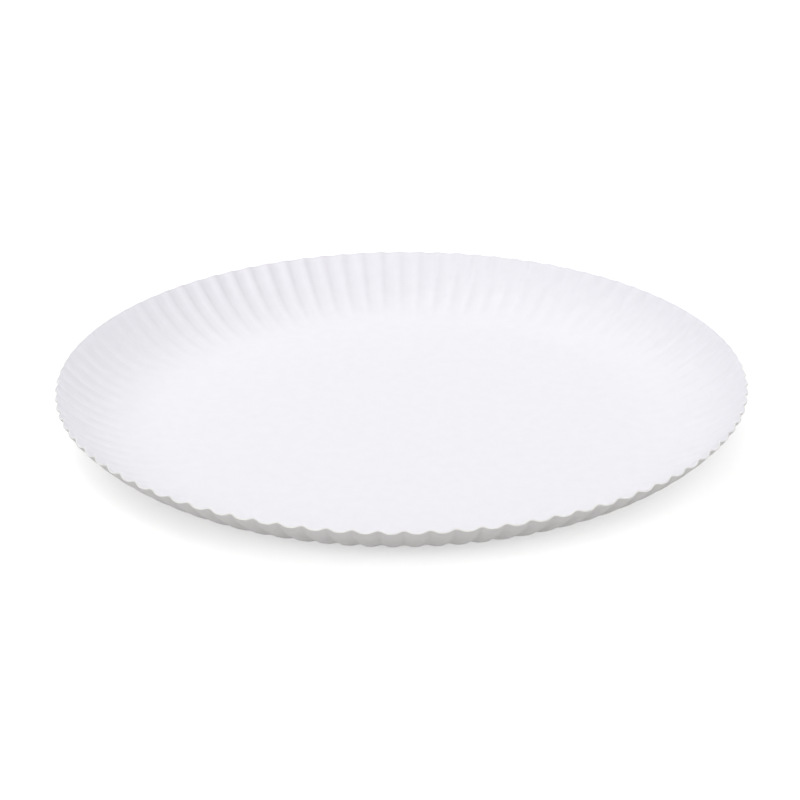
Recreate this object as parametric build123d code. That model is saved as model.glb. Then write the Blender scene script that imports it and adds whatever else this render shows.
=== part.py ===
from build123d import *

import math
import os

import numpy as np

# Paper plate: one round blank of coated board, pressed into a shallow dish with a fluted side.
# The origin is the centre of the flat base's underside. +Z points up, out of the dish.

# Driving dimensions, in millimetres and degrees
rim_diameter = 230.0       # across the cut edge, at the middle of the flutes
plate_depth = 16.5         # underside of the base to underside of the cut edge
rim_angle = 50.0           # slope of the side where it reaches the cut edge
straight_length = 2.0      # last part of the side, next to the cut edge
board_thickness = 0.45
flute_count = 96
flute_depth = 1.05         # from crest to hollow, square to the side
flute_fade_length = 18.7   # along the board, from no flute at the base to the full depth
crest_sharpness = 0.2      # narrows the crests inside the dish and broadens the lobes outside it

# Points through which each patch of the side passes
points_along_side = 8
points_across_flute = 13
normal_step = 1e-4         # small step, for the slope of the underside

# Lengths along the underside of the side, outwards from the edge of the flat base
rim_slope = math.radians(rim_angle)
bend_height = plate_depth - straight_length * math.sin(rim_slope)
bend_radius = bend_height / (1 - math.cos(rim_slope))
bend_length = bend_radius * rim_slope
side_length = bend_length + straight_length
side_width = bend_radius * math.sin(rim_slope) + straight_length * math.cos(rim_slope)
base_radius = rim_diameter / 2 - side_width
flute_pitch = math.tau / flute_count


def smooth_step(share):
    """Rises from 0 to 1, level and without curvature at both ends."""
    share = min(max(share, 0.0), 1.0)
    return share**3 * (10 - 15 * share + 6 * share**2)


def side_outline(length):
    """Radius, height and slope of the unfluted underside at a length along it."""
    slope = min(length, bend_length) / bend_radius
    straight = max(length - bend_length, 0.0)
    radius = base_radius + bend_radius * math.sin(slope) + straight * math.cos(slope)
    height = bend_radius * (1 - math.cos(slope)) + straight * math.sin(slope)
    return radius, height, slope


def underside(length, turn):
    """Point of the fluted underside: the outline moved square to itself by the flute's wave."""
    radius, height, slope = side_outline(length)
    phase = turn * flute_count
    wave = math.cos(phase) + crest_sharpness * math.cos(2 * phase)
    lift = wave * flute_depth / 2 * smooth_step(length / flute_fade_length)
    radius -= lift * math.sin(slope)
    height += lift * math.cos(slope)
    return np.array([radius * math.cos(turn), radius * math.sin(turn), height])


def upper_side(length, turn):
    """Point of the food side, one board's thickness square to the underside."""
    outwards = underside(length + normal_step, turn) - underside(length - normal_step, turn)
    around = underside(length, turn + normal_step) - underside(length, turn - normal_step)
    normal = np.cross(outwards, around)
    return underside(length, turn) + normal / np.linalg.norm(normal) * board_thickness


def patch_stations(count):
    """Stations from 0 to 1 that crowd to both ends, so that a patch doesn't ripple."""
    return [(1 - math.cos(math.pi * i / (count - 1))) / 2 for i in range(count)]


def bernstein_matrix(count):
    """Weight of each control point of a Bezier curve at each station."""
    degree = count - 1
    return np.array(
        [
            [math.comb(degree, j) * t**j * (1 - t) ** (degree - j) for j in range(count)]
            for t in patch_stations(count)
        ]
    )


def control_net(surface, start, end):
    """Control points of one flute's patch of a surface, between two lengths along the side."""
    grid = np.array(
        [
            [
                surface(start + (end - start) * along, flute_pitch * (across - 0.5))
                for across in patch_stations(points_across_flute)
            ]
            for along in patch_stations(points_along_side)
        ]
    )
    along_side = np.linalg.inv(bernstein_matrix(points_along_side))
    across_flute = np.linalg.inv(bernstein_matrix(points_across_flute))
    return np.einsum("ij,jkc,lk->ilc", along_side, grid, across_flute)


def patch(net):
    return Face.make_bezier_surface([[Vector(*point) for point in row] for row in net])


def all_round(shape):
    """One copy of a shape for each flute, with a crest on the -Y axis."""
    first_crest = -90.0
    step = 360 / flute_count
    return [shape.rotate(Axis.Z, first_crest + step * i) for i in range(flute_count)]


def base_disc(net):
    """Flat disc inside the innermost row of a surface's control points."""
    edge = Edge.make_bezier(*[Vector(*point) for point in net[0]])
    return Face(Wire(all_round(edge)))


def make_plate():
    bands = [(0.0, flute_fade_length), (flute_fade_length, bend_length), (bend_length, side_length)]
    under_nets = [control_net(underside, start, end) for start, end in bands]
    upper_nets = [control_net(upper_side, start, end) for start, end in bands]
    cut_edge = np.array([under_nets[-1][-1], upper_nets[-1][-1]])
    faces = [base_disc(under_nets[0]), base_disc(upper_nets[0])]
    for net in under_nets + upper_nets + [cut_edge]:
        faces += all_round(patch(net))
    return Solid(Shell(faces))


os.makedirs("parts", exist_ok=True)
plate = make_plate()
plate.label = "plate"
export_step(plate, "parts/plate.step")
print("flat base radius", round(base_radius, 2), "flute pitch at the rim",
      round(flute_pitch * rim_diameter / 2, 2), "volume", round(plate.volume))
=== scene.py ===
import math

import bpy
from mathutils import Matrix, Vector


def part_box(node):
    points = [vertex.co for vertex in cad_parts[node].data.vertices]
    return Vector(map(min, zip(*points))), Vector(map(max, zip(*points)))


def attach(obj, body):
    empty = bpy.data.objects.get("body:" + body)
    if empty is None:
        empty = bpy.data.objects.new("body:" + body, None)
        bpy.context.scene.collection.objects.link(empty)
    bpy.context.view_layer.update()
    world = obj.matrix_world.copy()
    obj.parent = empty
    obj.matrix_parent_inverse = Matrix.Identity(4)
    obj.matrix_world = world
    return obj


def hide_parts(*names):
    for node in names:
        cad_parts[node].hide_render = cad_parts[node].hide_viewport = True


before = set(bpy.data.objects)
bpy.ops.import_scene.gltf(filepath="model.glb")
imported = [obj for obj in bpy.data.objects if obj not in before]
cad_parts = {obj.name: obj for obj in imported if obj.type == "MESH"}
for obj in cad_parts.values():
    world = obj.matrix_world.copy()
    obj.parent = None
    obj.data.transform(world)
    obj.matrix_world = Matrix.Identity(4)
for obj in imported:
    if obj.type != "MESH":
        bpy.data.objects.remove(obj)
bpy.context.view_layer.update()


# --- The plate ------------------------------------------------------------------------------
# One round blank of clay-coated paperboard, pressed between heated dies into a shallow dish.
# The die gathers the spare board of the side into even flutes, with narrow crests towards the
# food and broad lobes outside. The base stays flat, and the cut edge is left bare.

MM = 0.001
low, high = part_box("plate")
board_thickness = 0.45 * MM
rim_angle = math.radians(50)
straight_length = 2.0 * MM
flute_count = 96
flute_depth = 1.05 * MM
flute_fade_length = 35.0 * MM  # along the board, from no flute at the base to the full depth
crest_sharpness = 0.2
weld_distance = 0.002 * MM

# The CAD box reaches to the lobes of the rim and to the tops of its crests.
lobe_reach = (1 - crest_sharpness) * flute_depth / 2 * math.sin(rim_angle)
crest_reach = (1 + crest_sharpness) * flute_depth / 2 * math.cos(rim_angle)
rim_radius = (high.x - low.x) / 2 / math.cos(math.pi / flute_count) - lobe_reach
plate_depth = high.z - low.z - crest_reach - board_thickness * math.cos(rim_angle)
bend_height = plate_depth - straight_length * math.sin(rim_angle)
bend_radius = bend_height / (1 - math.cos(rim_angle))
side_length = bend_radius * rim_angle + straight_length
side_width = bend_radius * math.sin(rim_angle) + straight_length * math.cos(rim_angle)
base_radius = rim_radius - side_width


def add(tree, kind, settings=None, **inputs):
    """Adds a node with its settings, and fills its inputs with values or other nodes' sockets.

    An input is named as on the node, with _ for a space, or i0, i1 and so on for its place.
    """
    node = tree.nodes.new(kind)
    for name, value in (settings or {}).items():
        setattr(node, name, value)
    for name, value in inputs.items():
        key = int(name[1:]) if name[1:].isdigit() else name.replace("_", " ")
        if isinstance(value, bpy.types.NodeSocket):
            tree.links.new(value, node.inputs[key])
        else:
            node.inputs[key].default_value = value
    return node


def linear(hex_colour):
    """Linear colour of an sRGB hex value, with full alpha."""
    channels = [int(hex_colour[place:place + 2], 16) / 255 for place in (0, 2, 4)]
    return (*[c / 12.92 if c <= 0.04045 else ((c + 0.055) / 1.055) ** 2.4 for c in channels], 1)


# Clay-coated board, calendered and then pressed against a polished die. The coating gives the
# food side its cool, even white and a satin sheen; the fibres below only just show as a faint
# cloudiness and a very low, soft grain.
def clay_coated_board():
    material = bpy.data.materials.new("clay_coated_board")
    material.use_nodes = True
    tree = material.node_tree
    shader = tree.nodes["Principled BSDF"]
    place = add(tree, "ShaderNodeTexCoord").outputs["Object"]
    # Fibre clumps 4 mm across make the cloudiness; the grain is drawn at 0.5 mm, coarser than
    # the real 0.05 mm fibres.
    clouds = add(tree, "ShaderNodeTexNoise", Vector=place, Scale=1 / (4 * MM), Detail=3.0)
    tint = add(tree, "ShaderNodeMapRange", Value=clouds.outputs["Fac"], From_Min=0.3, From_Max=0.7)
    colour = add(
        tree, "ShaderNodeMix", {"data_type": "RGBA"},
        i0=tint.outputs["Result"], i6=linear("F2F1F6"), i7=linear("F4F3F8"),
    )
    tree.links.new(colour.outputs[2], shader.inputs["Base Color"])
    grain = add(tree, "ShaderNodeTexNoise", Vector=place, Scale=1 / (0.5 * MM), Detail=2.0)
    relief = add(
        tree, "ShaderNodeBump",
        Height=grain.outputs["Fac"], Distance=0.008 * MM, Strength=1.0,
    )
    tree.links.new(relief.outputs["Normal"], shader.inputs["Normal"])
    shader.inputs["Roughness"].default_value = 0.56
    shader.inputs["IOR"].default_value = 1.5
    return material


# The underside is the same board without clay: duller, a little warmer, and hairy with fibre.
# Its fibre clumps are 3 mm across, and its fibres are drawn at 0.4 mm, coarser than the real ones.
def uncoated_board():
    material = bpy.data.materials.new("uncoated_board")
    material.use_nodes = True
    tree = material.node_tree
    shader = tree.nodes["Principled BSDF"]
    place = add(tree, "ShaderNodeTexCoord").outputs["Object"]
    clouds = add(tree, "ShaderNodeTexNoise", Vector=place, Scale=1 / (3 * MM), Detail=4.0)
    tint = add(tree, "ShaderNodeMapRange", Value=clouds.outputs["Fac"], From_Min=0.3, From_Max=0.7)
    colour = add(
        tree, "ShaderNodeMix", {"data_type": "RGBA"},
        i0=tint.outputs["Result"], i6=linear("F0EEED"), i7=linear("F4F2F1"),
    )
    tree.links.new(colour.outputs[2], shader.inputs["Base Color"])
    grain = add(tree, "ShaderNodeTexNoise", Vector=place, Scale=1 / (0.4 * MM), Detail=3.0)
    relief = add(
        tree, "ShaderNodeBump",
        Height=grain.outputs["Fac"], Distance=0.03 * MM, Strength=1.0,
    )
    tree.links.new(relief.outputs["Normal"], shader.inputs["Normal"])
    shader.inputs["Roughness"].default_value = 0.75
    shader.inputs["IOR"].default_value = 1.5
    return material


# The cut edge shows the board's raw core: chopped fibre in thin plies, with no coating. It looks
# matt and faintly cream. Its fibres are drawn at 0.3 mm, coarser than the real ones.
def cut_board():
    material = bpy.data.materials.new("cut_board_edge")
    material.use_nodes = True
    tree = material.node_tree
    shader = tree.nodes["Principled BSDF"]
    place = add(tree, "ShaderNodeTexCoord").outputs["Object"]
    fibres = add(tree, "ShaderNodeTexNoise", Vector=place, Scale=1 / (0.3 * MM), Detail=3.0)
    colour = add(
        tree, "ShaderNodeMix", {"data_type": "RGBA"},
        i0=fibres.outputs["Fac"], i6=linear("F2F0EE"), i7=linear("FAF9F7"),
    )
    tree.links.new(colour.outputs[2], shader.inputs["Base Color"])
    shader.inputs["Roughness"].default_value = 0.9
    shader.inputs["IOR"].default_value = 1.5
    return material


# The die's shape as a rule: a flat grid, whose X is the share of a turn and whose Y is the
# length along the board from the edge of the base, is wrapped round and fluted, then given the
# board's thickness square to its surface.
def fluted_plate_tree():
    tree = bpy.data.node_groups.new("Fluted Plate", "GeometryNodeTree")
    sockets = {
        "NodeSocketFloat": ["Base Radius", "Bend Radius", "Rim Angle", "Side Length",
                            "Board Thickness", "Flute Depth", "Fade Length", "Crest Sharpness",
                            "Unevenness", "Wander"],
        "NodeSocketInt": ["Flute Count", "Points per Flute", "Base Rings", "Side Rings", "Seed"],
        "NodeSocketMaterial": ["Food Side", "Underside", "Cut Edge"],
    }
    for kind, names in sockets.items():
        for name in names:
            tree.interface.new_socket(name=name, in_out="INPUT", socket_type=kind)
    tree.interface.new_socket(name="Plate", in_out="OUTPUT", socket_type="NodeSocketGeometry")
    found = dict(tree.nodes.new("NodeGroupInput").outputs.items())

    # Two flat strips side by side: the base with few rings, and the side with many.
    around = add(tree, "ShaderNodeMath", {"operation": "MULTIPLY_ADD"},
                 i0=found["Flute Count"], i1=found["Points per Flute"], i2=1.0)
    base_start = add(tree, "ShaderNodeMath", {"operation": "MULTIPLY"},
                     i0=found["Base Radius"], i1=-1.0)
    flat_board = add(tree, "GeometryNodeJoinGeometry")
    for rings, start, end in (("Base Rings", base_start.outputs[0], 0.0),
                              ("Side Rings", 0.0, found["Side Length"])):
        grid = add(tree, "GeometryNodeMeshGrid", Size_X=1.0, Size_Y=1.0,
                   Vertices_X=around.outputs[0], Vertices_Y=found[rings])
        spot = add(tree, "ShaderNodeSeparateXYZ",
                   Vector=add(tree, "GeometryNodeInputPosition").outputs[0])
        length = add(tree, "ShaderNodeMapRange", {"clamp": False}, Value=spot.outputs["Y"],
                     From_Min=-0.5, From_Max=0.5, To_Min=start, To_Max=end)
        flat = add(tree, "ShaderNodeCombineXYZ", X=spot.outputs["X"], Y=length.outputs[0])
        strip = add(tree, "GeometryNodeSetPosition",
                    Geometry=grid.outputs["Mesh"], Position=flat.outputs[0])
        tree.links.new(strip.outputs[0], flat_board.inputs[0])

    # Where a point of the flat board goes round the plate.
    spot = add(tree, "ShaderNodeSeparateXYZ",
               Vector=add(tree, "GeometryNodeInputPosition").outputs[0])
    turn = add(tree, "ShaderNodeMath", {"operation": "MULTIPLY"},
               i0=spot.outputs["X"], i1=math.tau)
    circle = add(tree, "ShaderNodeVectorRotate", {"rotation_type": "Z_AXIS"},
                 Vector=(1, 0, 0), Angle=turn.outputs[0])
    way = add(tree, "ShaderNodeSeparateXYZ", Vector=circle.outputs[0])
    fade = add(tree, "ShaderNodeMapRange", {"interpolation_type": "SMOOTHERSTEP"},
               Value=spot.outputs["Y"], From_Min=0.0, From_Max=found["Fade Length"])
    found.update({
        "length": spot.outputs["Y"], "turn": turn.outputs[0], "fade": fade.outputs["Result"],
        "cosine": way.outputs["X"], "sine": way.outputs["Y"],
    })

    # No two flutes press quite alike: smooth noise from 0 to 1 changes from each to the next.
    per_radian = add(tree, "ShaderNodeMath", {"operation": "DIVIDE"},
                     i0=found["Flute Count"], i1=math.tau)
    for name, channel in (("place noise", 0.0), ("depth noise", 5.0)):
        draw = add(tree, "ShaderNodeMath", {"operation": "ADD"}, i0=found["Seed"], i1=channel)
        noise = add(tree, "ShaderNodeTexNoise", {"noise_dimensions": "4D"},
                    Vector=circle.outputs[0], W=draw.outputs[0], Scale=per_radian.outputs[0],
                    Detail=1.0)
        found[name] = noise.outputs["Fac"]

    # Each step has a name, an operation, and inputs that are earlier values or numbers.
    section = [
        ("side part", "MAXIMUM", "length", 0.0),
        ("base part", "MINIMUM", "length", 0.0),
        ("bend slope", "DIVIDE", "side part", "Bend Radius"),
        ("slope", "MINIMUM", "bend slope", "Rim Angle"),
        ("slope cosine", "COSINE", "slope"),
        ("slope sine", "SINE", "slope"),
        ("bend length", "MULTIPLY", "Bend Radius", "Rim Angle"),
        ("past bend", "SUBTRACT", "length", "bend length"),
        ("straight part", "MAXIMUM", "past bend", 0.0),
        ("base reach", "ADD", "Base Radius", "base part"),
        ("bend reach", "MULTIPLY_ADD", "Bend Radius", "slope sine", "base reach"),
        ("plain radius", "MULTIPLY_ADD", "straight part", "slope cosine", "bend reach"),
        ("slope fall", "SUBTRACT", 1.0, "slope cosine"),
        ("bend rise", "MULTIPLY", "Bend Radius", "slope fall"),
        ("plain height", "MULTIPLY_ADD", "straight part", "slope sine", "bend rise"),
    ]
    flutes = [
        ("even phase", "MULTIPLY", "turn", "Flute Count"),
        ("shift", "SUBTRACT", "place noise", 0.5),
        ("phase", "MULTIPLY_ADD", "shift", "Wander", "even phase"),
        ("double phase", "MULTIPLY", "phase", 2.0),
        ("round wave", "COSINE", "phase"),
        ("sharp wave", "COSINE", "double phase"),
        ("wave", "MULTIPLY_ADD", "sharp wave", "Crest Sharpness", "round wave"),
        ("lost depth", "MULTIPLY", "depth noise", "Unevenness"),
        ("kept depth", "SUBTRACT", 1.0, "lost depth"),
        ("half depth", "MULTIPLY", "Flute Depth", 0.5),
        ("full lift", "MULTIPLY", "wave", "half depth"),
        ("uneven lift", "MULTIPLY", "full lift", "kept depth"),
        ("lift", "MULTIPLY", "uneven lift", "fade"),
        ("inward", "MULTIPLY", "lift", "slope sine"),
        ("radius", "SUBTRACT", "plain radius", "inward"),
        ("height", "MULTIPLY_ADD", "lift", "slope cosine", "plain height"),
        ("x", "MULTIPLY", "radius", "cosine"),
        ("y", "MULTIPLY", "radius", "sine"),
    ]
    for name, operation, *inputs in section + flutes:
        values = {f"i{place}": found.get(value, value) for place, value in enumerate(inputs)}
        step = add(tree, "ShaderNodeMath", {"operation": operation, "label": name}, **values)
        found[name] = step.outputs[0]

    spot = add(tree, "ShaderNodeCombineXYZ", X=found["x"], Y=found["y"], Z=found["height"])
    wrapped = add(tree, "GeometryNodeSetPosition",
                  Geometry=flat_board.outputs[0], Position=spot.outputs[0])
    underside = add(tree, "GeometryNodeMergeByDistance",
                    Geometry=wrapped.outputs[0], Distance=weld_distance).outputs[0]

    # Thickness: the food side stands off square to the underside, and a bare edge joins them.
    turned = add(tree, "GeometryNodeFlipFaces", Mesh=underside)
    raised = add(tree, "GeometryNodeExtrudeMesh", Mesh=turned.outputs[0], Individual=False,
                 Offset_Scale=found["Board Thickness"])
    joined = add(tree, "GeometryNodeJoinGeometry")
    tree.links.new(underside, joined.inputs[0])
    tree.links.new(raised.outputs["Mesh"], joined.inputs[0])
    closed = add(tree, "GeometryNodeMergeByDistance",
                 Geometry=joined.outputs[0], Distance=weld_distance)
    realised = add(tree, "GeometryNodeRealizeInstances", Geometry=closed.outputs[0])
    whole = add(tree, "GeometryNodeSetMaterial", Geometry=realised.outputs[0],
                Material=found["Underside"])
    coated = add(tree, "GeometryNodeSetMaterial", Geometry=whole.outputs[0],
                 Selection=raised.outputs["Top"], Material=found["Food Side"])
    edged = add(tree, "GeometryNodeSetMaterial", Geometry=coated.outputs[0],
                Selection=raised.outputs["Side"], Material=found["Cut Edge"])
    result = tree.nodes.new("NodeGroupOutput")
    tree.links.new(edged.outputs[0], result.inputs[0])
    return tree


# Pressing: the tree runs once with the plate's own sizes, and what it makes is kept as a mesh.
def run_tree(name, tree, values):
    """Plain mesh object made by a node tree with these input values."""
    carrier = bpy.data.objects.new("carrier", bpy.data.meshes.new("carrier"))
    bpy.context.collection.objects.link(carrier)
    modifier = carrier.modifiers.new("tree", "NODES")
    modifier.node_group = tree
    for item in tree.interface.items_tree:
        if item.in_out == "INPUT":
            modifier[item.identifier] = values[item.name]
    evaluated = carrier.evaluated_get(bpy.context.evaluated_depsgraph_get())
    mesh = bpy.data.meshes.new_from_object(evaluated)
    bpy.data.objects.remove(carrier)
    made = bpy.data.objects.new(name, mesh)
    bpy.context.collection.objects.link(made)
    return made


plate = run_tree(
    "fluted_paper_plate",
    fluted_plate_tree(),
    {
        "Base Radius": base_radius, "Bend Radius": bend_radius, "Rim Angle": rim_angle,
        "Side Length": side_length, "Board Thickness": board_thickness,
        "Flute Depth": flute_depth, "Fade Length": flute_fade_length,
        "Crest Sharpness": crest_sharpness, "Unevenness": 0.12, "Wander": 0.5,
        "Flute Count": flute_count, "Points per Flute": 10, "Base Rings": 8, "Side Rings": 30,
        "Seed": 4,
        "Food Side": clay_coated_board(), "Underside": uncoated_board(), "Cut Edge": cut_board(),
    },
)
plate.data.shade_smooth()

# Handling takes the sharpness off the cut edge.
bevel = plate.modifiers.new("worn_arris", "BEVEL")
bevel.width = 0.06 * MM
bevel.segments = 2
bevel.limit_method = "ANGLE"
bevel.angle_limit = math.radians(50)
bevel.harden_normals = True
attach(plate, "root")
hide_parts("plate")


# --- Floor ----------------------------------------------------------------------------------
# A plain white sweep, laid just under the base so that the two faces don't meet. It keeps the
# plate's shadow, and round the plate it reads as pure white.
floor_mesh = bpy.data.meshes.new("floor")
floor_half = 3.0
floor_drop = 0.05 * MM
floor_mesh.from_pydata(
    [(-floor_half, -floor_half, 0), (floor_half, -floor_half, 0),
     (floor_half, floor_half, 0), (-floor_half, floor_half, 0)],
    [], [(0, 1, 2, 3)],
)
floor = bpy.data.objects.new("floor", floor_mesh)
floor.location.z = low.z - floor_drop
bpy.context.collection.objects.link(floor)


def seen_directly(tree):
    """1 for rays of the camera, mirrors and glass, and 0 for the rays that light other things."""
    rays = add(tree, "ShaderNodeLightPath").outputs
    mirrored = add(tree, "ShaderNodeMath", {"operation": "MAXIMUM"},
                   i0=rays["Is Glossy Ray"], i1=rays["Is Transmission Ray"])
    seen = add(tree, "ShaderNodeMath", {"operation": "MAXIMUM"},
               i0=rays["Is Camera Ray"], i1=mirrored.outputs[0])
    return seen.outputs[0]


# The sweep lights the plate as pale grey paper does, and is seen as white paper with a low glow.
def white_sweep():
    material = bpy.data.materials.new("white_sweep")
    material.use_nodes = True
    tree = material.node_tree
    tree.nodes.clear()
    seen = seen_directly(tree)
    tone = add(tree, "ShaderNodeMix", {"data_type": "RGBA"},
               i0=seen, i6=linear("C8C8C8"), i7=linear("F4F4F4"))
    paper = add(tree, "ShaderNodeBsdfDiffuse", Color=tone.outputs[2])
    lit = add(tree, "ShaderNodeMath", {"operation": "MULTIPLY"}, i0=seen, i1=0.48)
    glow = add(tree, "ShaderNodeEmission", Color=(1, 1, 1, 1), Strength=lit.outputs[0])
    both = add(tree, "ShaderNodeAddShader", i0=paper.outputs[0], i1=glow.outputs[0])
    out = add(tree, "ShaderNodeOutputMaterial")
    tree.links.new(both.outputs[0], out.inputs["Surface"])
    return material


floor_mesh.materials.append(white_sweep())


# --- Light ----------------------------------------------------------------------------------
# A tent of soft light on a white surround. Low banks light the side and the outside of the
# plate, and high, broader ones light the base. Behind on the left is the strongest.
world = bpy.data.worlds.new("surround")
bpy.context.scene.world = world
world.use_nodes = True
background = world.node_tree.nodes["Background"]
background.inputs["Color"].default_value = (1, 1, 1, 1)
world.node_tree.links.new(seen_directly(world.node_tree), background.inputs["Strength"])


def soft_bank(name, azimuth, level, elevation, breadth):
    """Lamp whose azimuth runs from the front through the right; level 1 lights white fully."""
    lamp = bpy.data.lights.new(name, "SUN")
    lamp.angle = math.radians(breadth)
    lamp.energy = level * math.pi
    bank = bpy.data.objects.new(name, lamp)
    turn = math.radians(azimuth)
    rise = math.radians(elevation)
    ahead = math.cos(rise)
    toward = Vector((math.sin(turn) * ahead, -math.cos(turn) * ahead, math.sin(rise)))
    bank.rotation_euler = toward.to_track_quat("Z", "Y").to_euler()
    bpy.context.collection.objects.link(bank)


low_bank = {"elevation": 20, "breadth": 40}
soft_bank("low_front_right", 45, 0.26, **low_bank)
soft_bank("low_front_left", 315, 0.29, **low_bank)
soft_bank("low_back_right", 135, 0.11, **low_bank)
soft_bank("low_back", 180, 0.05, **low_bank)
high_bank = {"elevation": 50, "breadth": 50}
soft_bank("high_front", 0, 0.18, **high_bank)
soft_bank("high_front_right", 45, 0.13, **high_bank)
soft_bank("high_back", 180, 0.22, **high_bank)
soft_bank("high_back_left", 225, 0.34, **high_bank)


# --- Camera ---------------------------------------------------------------------------------
# Stands in front and above, on a long lens, and aims close to the middle of the rim. It leans
# and turns by less than a degree, as a camera on a stand does.
rim_centre = Vector((0, 0, high.z - crest_reach))
camera_distance = 725.5 * MM
camera_elevation = math.radians(23.69)
camera_turn = math.radians(-0.23)
camera_dip = math.radians(0.75)
camera_roll = math.radians(-0.46)
camera_pan = math.radians(-0.04)

lens = bpy.data.cameras.new("camera")
lens.lens = 97.3
lens.sensor_width = 36.0
camera = bpy.data.objects.new("camera", lens)
bpy.context.collection.objects.link(camera)
stand = Matrix.Rotation(camera_turn, 4, "Z") @ Vector(
    (0, -math.cos(camera_elevation), math.sin(camera_elevation))
)
camera.location = rim_centre + stand * camera_distance
tilt = Matrix.Rotation(camera_turn, 4, "Z") @ Matrix.Rotation(
    math.pi / 2 - camera_elevation - camera_dip, 4, "X"
)
pan_and_roll = Matrix.Rotation(-camera_pan, 4, "Y") @ Matrix.Rotation(camera_roll, 4, "Z")
camera.rotation_euler = (tilt @ pan_and_roll).to_euler()
bpy.context.scene.camera = camera
bpy.context.scene.view_settings.view_transform = "Standard"
